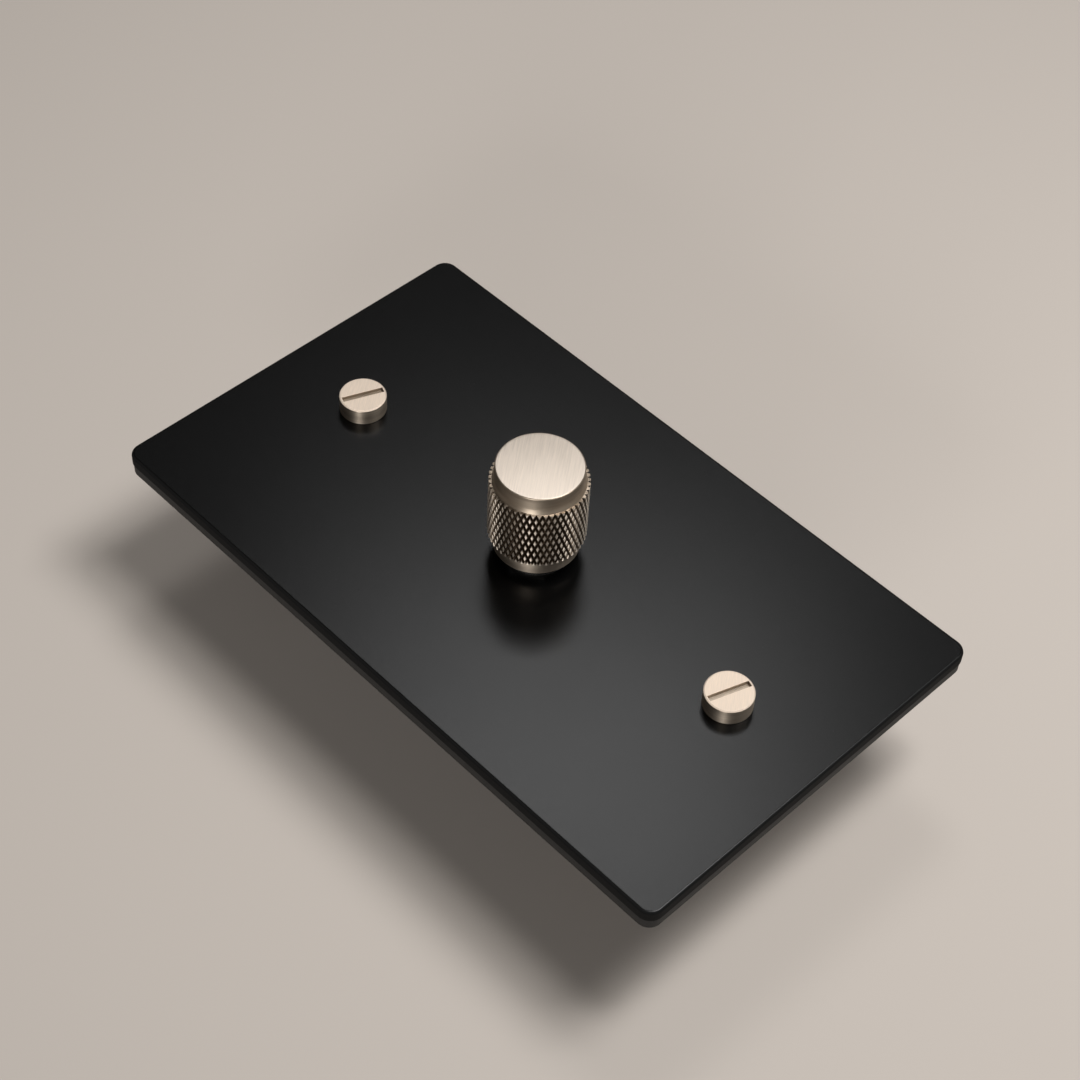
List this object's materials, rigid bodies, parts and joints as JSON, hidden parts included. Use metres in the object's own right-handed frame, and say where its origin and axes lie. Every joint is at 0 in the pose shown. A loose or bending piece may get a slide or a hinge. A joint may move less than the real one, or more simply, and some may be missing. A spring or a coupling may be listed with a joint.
{
  "type": "rotary dimmer switch",
  "caption": "Flat rectangular wall plate with a cross-knurled metal push-and-turn knob, slotted fixing screws and a dimmer module with wire terminals behind it.",
  "frame": {"origin": "midway between the fixing screws, in the wall plane at the rear of the backing frame", "axes": "+Z out of the wall towards the user, +Y along the plate's long side, +X across it"},
  "size_m": [0.071, 0.12, 0.0473],
  "materials": {
    "plate_black": "satin black powder coat",
    "backing_grey": "dark grey moulded plastic",
    "screw_steel": "brushed warm nickel",
    "knob_steel": "brushed warm nickel",
    "brass_turned": "turned brass",
    "aluminium_shaft": "turned aluminium",
    "spring_steel": "spring steel",
    "plated_bush": "nickel plated brass",
    "pot_moulding": "black moulded plastic",
    "track_board": "phenolic board",
    "tinned_metal": "tin plated",
    "rotor_moulding": "natural acetal",
    "sink_aluminium": "mill finish sheet",
    "zinc_screw": "zinc plated",
    "case_moulding": "dark grey moulded plastic",
    "terminal_brass": "machined brass",
    "board_laminate": "glass epoxy laminate",
    "choke_powder": "epoxy coated iron powder",
    "enamelled_wire": "enamelled copper wire",
    "capacitor_box": "moulded box",
    "fuse_glass": "clear glass",
    "triac_epoxy": "moulded epoxy"
  },
  "bodies": {
    "wall_unit": {"front_plate": "plate_black", "backing_frame": "backing_grey", "fixing_screws": "screw_steel", "pot_bush": "plated_bush", "bush_washer": "plated_bush", "bush_nut": "plated_bush", "pot_case": "pot_moulding", "track_wafer": "track_board", "pot_pins": "tinned_metal", "switch_housing": "pot_moulding", "switch_contacts": "brass_turned", "return_spring": "spring_steel", "heat_sink": "sink_aluminium", "case_screws": "zinc_screw", "module_case": "case_moulding", "terminal_blocks": "terminal_brass", "terminal_screws": "zinc_screw", "circuit_board": "board_laminate", "choke_core": "choke_powder", "choke_winding": "enamelled_wire", "film_capacitor": "capacitor_box", "fuse_tube": "fuse_glass", "fuse_caps": "tinned_metal", "triac_mould": "triac_epoxy", "triac_leadframe": "tinned_metal", "triac_rivet": "sink_aluminium"},
    "rotor": {"pot_rotor": "rotor_moulding", "wiper": "brass_turned"},
    "dial": {"knob": "knob_steel", "knob_insert": "brass_turned", "control_shaft": "aluminium_shaft", "shaft_clip": "spring_steel"},
    "plunger": {"switch_plunger": "rotor_moulding", "contact_bridge": "brass_turned"}
  },
  "joints": [
    {"name": "dial_turn", "type": "hinge", "parent": "wall_unit", "child": "rotor", "pos_m": [0, 0, 0], "axis": [0, 0, 1], "range_deg": [-150, 150]},
    {"name": "knob_push", "type": "slide", "parent": "rotor", "child": "dial", "axis": [0, 0, -1], "range_m": [0, 0.0015], "stiffness_N_per_m": 800, "springref_m": -0.0015},
    {"name": "switch_plunge", "type": "slide", "parent": "wall_unit", "child": "plunger", "axis": [0, 0, -1], "range_m": [0, 0.0015], "deforming": ["return_spring"]}
  ],
  "couplings": [
    {"joint": "switch_plunge", "follows": "knob_push", "ratio": 1}
  ]
}
